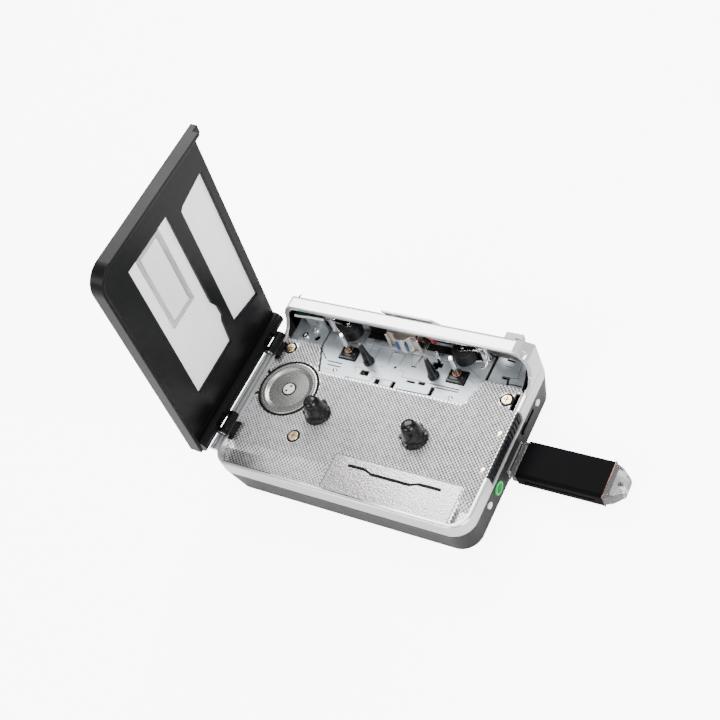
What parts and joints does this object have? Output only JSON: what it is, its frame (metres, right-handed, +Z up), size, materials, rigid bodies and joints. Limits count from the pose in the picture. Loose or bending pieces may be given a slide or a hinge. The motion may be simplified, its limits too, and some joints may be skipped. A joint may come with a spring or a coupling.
{
  "type": "portable cassette player",
  "caption": "Pocket cassette tape player with a hinged lid standing open over its reel spindles, capstans and tape head, and a memory stick plugged into one end.",
  "frame": {"origin": "centre of the base, on the plane it rests on", "axes": "+X along the length towards the memory stick, +Y towards the tape heads at the rear, +Z up"},
  "size_m": [0.1581, 0.0805, 0.132],
  "materials": {
    "black_plastic": "fine satin grain",
    "silver_plastic": "silver pearl paint on plastic",
    "knurled_chrome": "metallised plastic with fine diamond knurl",
    "deck_steel": "zinc plated sheet",
    "bright_steel": "polished",
    "motor_metal": "spun satin",
    "white_plastic": "plain",
    "gloss_black": "polished moulding",
    "copper": "plain",
    "brass": "turned",
    "roller_rubber": "ground matt",
    "belt_rubber": "matt",
    "head_shield": "polished alloy",
    "board_green": "lacquered laminate",
    "wire_white": "flexible sleeve",
    "nylon": "natural",
    "flywheel_metal": "machined",
    "cell_wrap": "printed film, plain",
    "screen_panel": "smoked grey",
    "clear_window": "clear",
    "jack_green": "plain",
    "lens_white": "diffusing",
    "button_grey": "satin",
    "stick_grey": "satin",
    "clear_cap": "clear moulding",
    "plated_steel": "plated"
  },
  "bodies": {
    "housing": {"lower_shell": "black_plastic", "trim_ring": "silver_plastic", "rear_bridge": "silver_plastic", "well_floor": "knurled_chrome", "slot_panel": "knurled_chrome", "deck_plate": "deck_steel", "side_deck_plate": "deck_steel", "rear_bracket": "deck_steel", "capstan_bushes": "gloss_black", "locating_pins": "gloss_black", "pivot_pins": "bright_steel", "motor_can": "motor_metal", "motor_cap": "white_plastic", "drive_belt": "belt_rubber", "flywheel_bracket": "deck_steel", "control_board": "board_green", "board_wire": "wire_white", "main_board": "board_green", "usb_socket": "plated_steel", "headphone_jack": "jack_green", "indicator_lights": "lens_white", "batteries": "cell_wrap", "battery_contacts": "plated_steel", "hinge_brackets": "gloss_black", "thumb_grip": "black_plastic", "floor_screws": "brass", "case_screws": "bright_steel"},
    "left_reel": {"left_spindle": "gloss_black", "left_reel_gear": "nylon"},
    "right_reel": {"right_spindle": "gloss_black", "right_reel_gear": "nylon"},
    "idler_swing": {"idler_arm": "nylon"},
    "idler_wheel": {"idler_gear": "nylon"},
    "left_drive": {"left_flywheel": "flywheel_metal", "left_capstan": "bright_steel"},
    "right_drive": {"right_flywheel": "flywheel_metal", "right_capstan": "bright_steel"},
    "motor_rotor": {"motor_pulley": "nylon"},
    "heads": {"head_carriage": "deck_steel", "tape_head": "head_shield"},
    "left_pinch": {"left_pinch_arm": "bright_steel"},
    "right_pinch": {"right_pinch_arm": "bright_steel"},
    "left_roller": {"left_pinch_roller": "roller_rubber"},
    "right_roller": {"right_pinch_roller": "roller_rubber"},
    "lid": {"lid_frame": "black_plastic", "lid_outer_panel": "screen_panel", "lid_window": "clear_window", "hinge_pins": "bright_steel"},
    "door": {"battery_door": "black_plastic"},
    "play": {"play_button": "silver_plastic"},
    "stop": {"stop_button": "button_grey"},
    "rewind": {"rewind_button": "button_grey"},
    "forward": {"forward_button": "button_grey"},
    "mode_switch": {"mode_switch_knob": "button_grey"},
    "side_switch": {"side_switch_knob": "black_plastic"},
    "memory_stick": {"stick_sleeve": "stick_grey", "stick_collar": "clear_cap", "stick_plug": "plated_steel", "stick_cap": "clear_cap"}
  },
  "joints": [
    {"name": "lid_hinge", "type": "hinge", "parent": "housing", "child": "lid", "pos_m": [-0.0527, 0, 0.0244], "axis": [0, 1, 0], "range_deg": [0, 82.5]},
    {"name": "left_reel_spin", "type": "hinge", "parent": "housing", "child": "left_reel", "pos_m": [-0.02175, -0.0077, 0.02], "axis": [0, 0, 1], "continuous": true},
    {"name": "right_reel_spin", "type": "hinge", "parent": "housing", "child": "right_reel", "pos_m": [0.02075, -0.0077, 0.02], "axis": [0, 0, 1], "continuous": true},
    {"name": "idler_swing", "type": "hinge", "parent": "housing", "child": "idler_swing", "pos_m": [-0.0005, 0.0092, 0.0154], "axis": [0, 0, 1], "range_deg": [-9, 9]},
    {"name": "idler_spin", "type": "hinge", "parent": "idler_swing", "child": "idler_wheel", "pos_m": [-0.0005, -0.0046, 0.0131], "axis": [0, 0, 1], "continuous": true},
    {"name": "right_capstan_spin", "type": "hinge", "parent": "housing", "child": "right_drive", "pos_m": [0.02405, 0.0231, 0.0075], "axis": [0, 0, 1], "continuous": true},
    {"name": "left_capstan_spin", "type": "hinge", "parent": "housing", "child": "left_drive", "pos_m": [-0.02385, 0.0231, 0.0075], "axis": [0, 0, 1], "continuous": true},
    {"name": "motor_spin", "type": "hinge", "parent": "housing", "child": "motor_rotor", "pos_m": [-0.0402, 0.0003, 0.0075], "axis": [0, 0, 1], "continuous": true},
    {"name": "head_slide", "type": "slide", "parent": "housing", "child": "heads", "axis": [0, -1, 0], "range_m": [0, 0.003], "stiffness_N_per_m": 60},
    {"name": "left_pinch_swing", "type": "hinge", "parent": "housing", "child": "left_pinch", "pos_m": [-0.0345, 0.032, 0.023], "axis": [0, 0, 1], "range_deg": [-10.6, 0], "stiffness_Nm_per_rad": 0.01},
    {"name": "right_pinch_swing", "type": "hinge", "parent": "housing", "child": "right_pinch", "pos_m": [0.0328, 0.0319, 0.023], "axis": [0, 0, 1], "range_deg": [0, 11.2], "stiffness_Nm_per_rad": 0.01},
    {"name": "left_roller_spin", "type": "hinge", "parent": "left_pinch", "child": "left_roller", "pos_m": [-0.025, 0.0303, 0.0232], "axis": [0, 0, 1], "continuous": true},
    {"name": "right_roller_spin", "type": "hinge", "parent": "right_pinch", "child": "right_roller", "pos_m": [0.0254, 0.0299, 0.0232], "axis": [0, 0, 1], "continuous": true},
    {"name": "battery_door_slide", "type": "slide", "parent": "housing", "child": "door", "axis": [0, -1, 0], "range_m": [0, 0.018]},
    {"name": "play_press", "type": "slide", "parent": "housing", "child": "play", "axis": [0, 0, -1], "range_m": [0, 0.0006], "stiffness_N_per_m": 300},
    {"name": "stop_press", "type": "slide", "parent": "housing", "child": "stop", "axis": [0, -1, 0], "range_m": [0, 0.0008], "stiffness_N_per_m": 200},
    {"name": "rewind_press", "type": "slide", "parent": "housing", "child": "rewind", "axis": [0, -1, 0], "range_m": [0, 0.0008], "stiffness_N_per_m": 200},
    {"name": "forward_press", "type": "slide", "parent": "housing", "child": "forward", "axis": [0, -1, 0], "range_m": [0, 0.0008], "stiffness_N_per_m": 200},
    {"name": "mode_switch_slide", "type": "slide", "parent": "housing", "child": "mode_switch", "axis": [1, 0, 0], "range_m": [-0.0019, 0.0029]},
    {"name": "side_switch_slide", "type": "slide", "parent": "housing", "child": "side_switch", "axis": [0, 1, 0], "range_m": [0, 0.0055]},
    {"name": "stick_pull", "type": "slide", "parent": "housing", "child": "memory_stick", "axis": [1, 0, 0], "range_m": [0, 0.0125]}
  ],
  "couplings": [
    {"joint": "left_capstan_spin", "follows": "right_capstan_spin", "ratio": -1},
    {"joint": "motor_spin", "follows": "right_capstan_spin", "ratio": 3.457}
  ]
}
